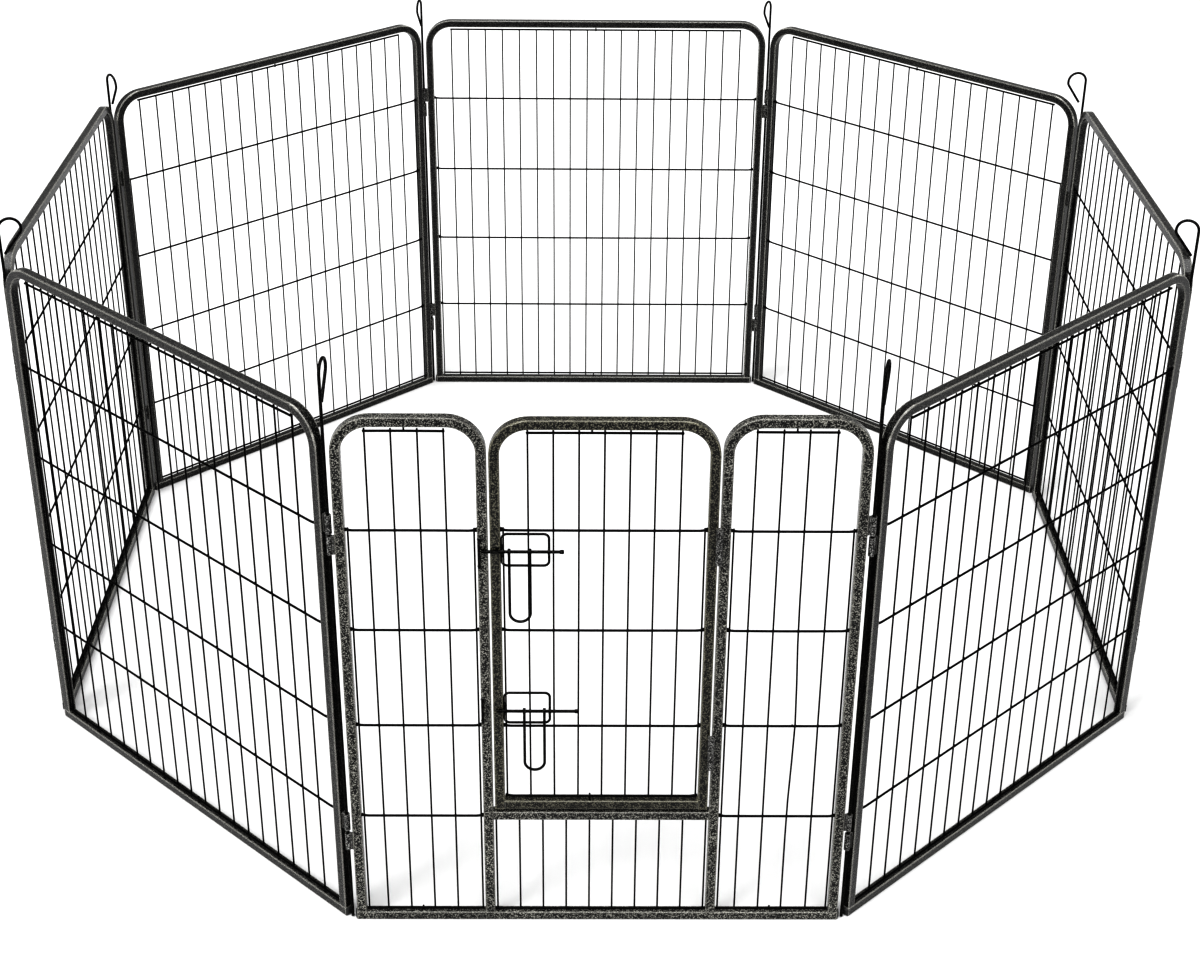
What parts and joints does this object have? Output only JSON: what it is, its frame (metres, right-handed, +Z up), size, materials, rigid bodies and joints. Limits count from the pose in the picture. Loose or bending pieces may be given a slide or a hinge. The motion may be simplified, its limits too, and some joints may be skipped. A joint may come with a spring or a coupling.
{
  "type": "folding pet playpen",
  "caption": "Free-standing folding pen of hinged tube-and-wire panels with lift-out looped pins and a front door on slide bolts.",
  "frame": {"origin": "on the floor, below the middle of the bounding box at rest", "axes": "+X to the right as seen from in front of the door, +Y from the door towards the back panel, +Z up"},
  "size_m": [2.053, 1.9312, 1.0419],
  "materials": {
    "frame_coat": "dark silver-vein hammertone powder coat, satin, fine light speckle",
    "wire_coat": "near-black powder coat on wire, satin",
    "hardware_coat": "near-black powder coat over welded steel, satin",
    "plug_plastic": "moulded black polyethylene"
  },
  "bodies": {
    "front_panel": {"front_base_rail": "frame_coat", "front_rail_plugs": "plug_plastic", "front_hinge_barrels": "hardware_coat", "front_mesh": "wire_coat", "front_narrow_hoop_left": "frame_coat", "front_narrow_hoop_right": "frame_coat", "front_sill_rail": "frame_coat", "front_latch_keepers": "hardware_coat"},
    "front_right_panel": {"front_right_base_rail": "frame_coat", "front_right_rail_plugs": "plug_plastic", "front_right_hinge_barrels": "hardware_coat", "front_right_mesh": "wire_coat", "front_right_hoop": "frame_coat"},
    "right_panel": {"right_base_rail": "frame_coat", "right_rail_plugs": "plug_plastic", "right_hinge_barrels": "hardware_coat", "right_mesh": "wire_coat", "right_hoop": "frame_coat"},
    "back_right_panel": {"back_right_base_rail": "frame_coat", "back_right_rail_plugs": "plug_plastic", "back_right_hinge_barrels": "hardware_coat", "back_right_mesh": "wire_coat", "back_right_hoop": "frame_coat"},
    "back_panel": {"back_base_rail": "frame_coat", "back_rail_plugs": "plug_plastic", "back_hinge_barrels": "hardware_coat", "back_mesh": "wire_coat", "back_hoop": "frame_coat"},
    "back_left_panel": {"back_left_base_rail": "frame_coat", "back_left_rail_plugs": "plug_plastic", "back_left_hinge_barrels": "hardware_coat", "back_left_mesh": "wire_coat", "back_left_hoop": "frame_coat"},
    "left_panel": {"left_base_rail": "frame_coat", "left_rail_plugs": "plug_plastic", "left_hinge_barrels": "hardware_coat", "left_mesh": "wire_coat", "left_hoop": "frame_coat"},
    "front_left_panel": {"front_left_base_rail": "frame_coat", "front_left_rail_plugs": "plug_plastic", "front_left_hinge_barrels": "hardware_coat", "front_left_mesh": "wire_coat", "front_left_hoop": "frame_coat"},
    "door": {"door_hoop": "frame_coat", "door_bottom_rail": "frame_coat", "door_mesh": "wire_coat", "door_hinge_barrels": "hardware_coat", "door_latch_brackets": "hardware_coat"},
    "upper_bolt": {"upper_bolt_rod": "hardware_coat"},
    "upper_handle": {"upper_bolt_handle": "hardware_coat"},
    "lower_bolt": {"lower_bolt_rod": "hardware_coat"},
    "lower_handle": {"lower_bolt_handle": "hardware_coat"},
    "pin_front_left": {"pin_front_left": "hardware_coat"},
    "pin_front_right": {"pin_front_right": "hardware_coat"},
    "pin_right_front": {"pin_right_front": "hardware_coat"},
    "pin_right_back": {"pin_right_back": "hardware_coat"},
    "pin_back_right": {"pin_back_right": "hardware_coat"},
    "pin_back_left": {"pin_back_left": "hardware_coat"},
    "pin_left_back": {"pin_left_back": "hardware_coat"},
    "pin_left_front": {"pin_left_front": "hardware_coat"}
  },
  "joints": [
    {"name": "pen_fold", "type": "hinge", "parent": "front_panel", "child": "front_left_panel", "pos_m": [-0.4085, -0.94639, 0.4], "axis": [0, 0, 1], "range_deg": [-47.8, 41.2]},
    {"name": "fold_left_front", "type": "hinge", "parent": "front_left_panel", "child": "left_panel", "pos_m": [-1.0185, -0.4029, 0.4], "axis": [0, 0, 1], "range_deg": [-41.2, 47.8]},
    {"name": "fold_left_back", "type": "hinge", "parent": "left_panel", "child": "back_left_panel", "pos_m": [-1.0185, 0.4141, 0.4], "axis": [0, 0, 1], "range_deg": [-41.2, 47.8]},
    {"name": "fold_back_left", "type": "hinge", "parent": "back_left_panel", "child": "back_panel", "pos_m": [-0.4085, 0.95759, 0.4], "axis": [0, 0, 1], "range_deg": [-47.8, 41.2]},
    {"name": "fold_front_right", "type": "hinge", "parent": "front_panel", "child": "front_right_panel", "pos_m": [0.4085, -0.94639, 0.4], "axis": [0, 0, 1], "range_deg": [-41.2, 47.8]},
    {"name": "fold_right_front", "type": "hinge", "parent": "front_right_panel", "child": "right_panel", "pos_m": [1.0185, -0.4029, 0.4], "axis": [0, 0, 1], "range_deg": [-47.8, 41.2]},
    {"name": "fold_right_back", "type": "hinge", "parent": "right_panel", "child": "back_right_panel", "pos_m": [1.0185, 0.4141, 0.4], "axis": [0, 0, 1], "range_deg": [-47.8, 41.2]},
    {"name": "door_swing", "type": "hinge", "parent": "front_panel", "child": "door", "pos_m": [0.1775, -0.96019, 0.4], "axis": [0, 0, 1], "range_deg": [0, 165]},
    {"name": "upper_bolt_slide", "type": "slide", "parent": "door", "child": "upper_bolt", "axis": [1, 0, 0], "range_m": [-0.0065, 0.022]},
    {"name": "upper_handle_turn", "type": "hinge", "parent": "upper_bolt", "child": "upper_handle", "pos_m": [-0.1, -0.95759, 0.7297], "axis": [-1, 0, 0], "range_deg": [0, 170]},
    {"name": "lower_bolt_slide", "type": "slide", "parent": "door", "child": "lower_bolt", "axis": [1, 0, 0], "range_m": [-0.0265, 0]},
    {"name": "lower_handle_turn", "type": "hinge", "parent": "lower_bolt", "child": "lower_handle", "pos_m": [-0.1, -0.95759, 0.4335], "axis": [-1, 0, 0], "range_deg": [0, 170]},
    {"name": "lift_pin_front_left", "type": "slide", "parent": "front_panel", "child": "pin_front_left", "axis": [0, 0, 1], "range_m": [0, 0.8]},
    {"name": "lift_pin_front_right", "type": "slide", "parent": "front_panel", "child": "pin_front_right", "axis": [0, 0, 1], "range_m": [0, 0.8]},
    {"name": "lift_pin_right_front", "type": "slide", "parent": "right_panel", "child": "pin_right_front", "axis": [0, 0, 1], "range_m": [0, 0.8]},
    {"name": "lift_pin_right_back", "type": "slide", "parent": "right_panel", "child": "pin_right_back", "axis": [0, 0, 1], "range_m": [0, 0.8]},
    {"name": "lift_pin_back_right", "type": "slide", "parent": "back_panel", "child": "pin_back_right", "axis": [0, 0, 1], "range_m": [0, 0.8]},
    {"name": "lift_pin_back_left", "type": "slide", "parent": "back_panel", "child": "pin_back_left", "axis": [0, 0, 1], "range_m": [0, 0.8]},
    {"name": "lift_pin_left_back", "type": "slide", "parent": "left_panel", "child": "pin_left_back", "axis": [0, 0, 1], "range_m": [0, 0.8]},
    {"name": "lift_pin_left_front", "type": "slide", "parent": "left_panel", "child": "pin_left_front", "axis": [0, 0, 1], "range_m": [0, 0.8]}
  ],
  "couplings": [
    {"joint": "fold_left_front", "follows": "pen_fold", "ratio": -1},
    {"joint": "fold_left_back", "follows": "pen_fold", "ratio": -1},
    {"joint": "fold_back_left", "follows": "pen_fold", "ratio": 1},
    {"joint": "fold_front_right", "follows": "pen_fold", "ratio": -1},
    {"joint": "fold_right_front", "follows": "pen_fold", "ratio": 1},
    {"joint": "fold_right_back", "follows": "pen_fold", "ratio": 1}
  ]
}
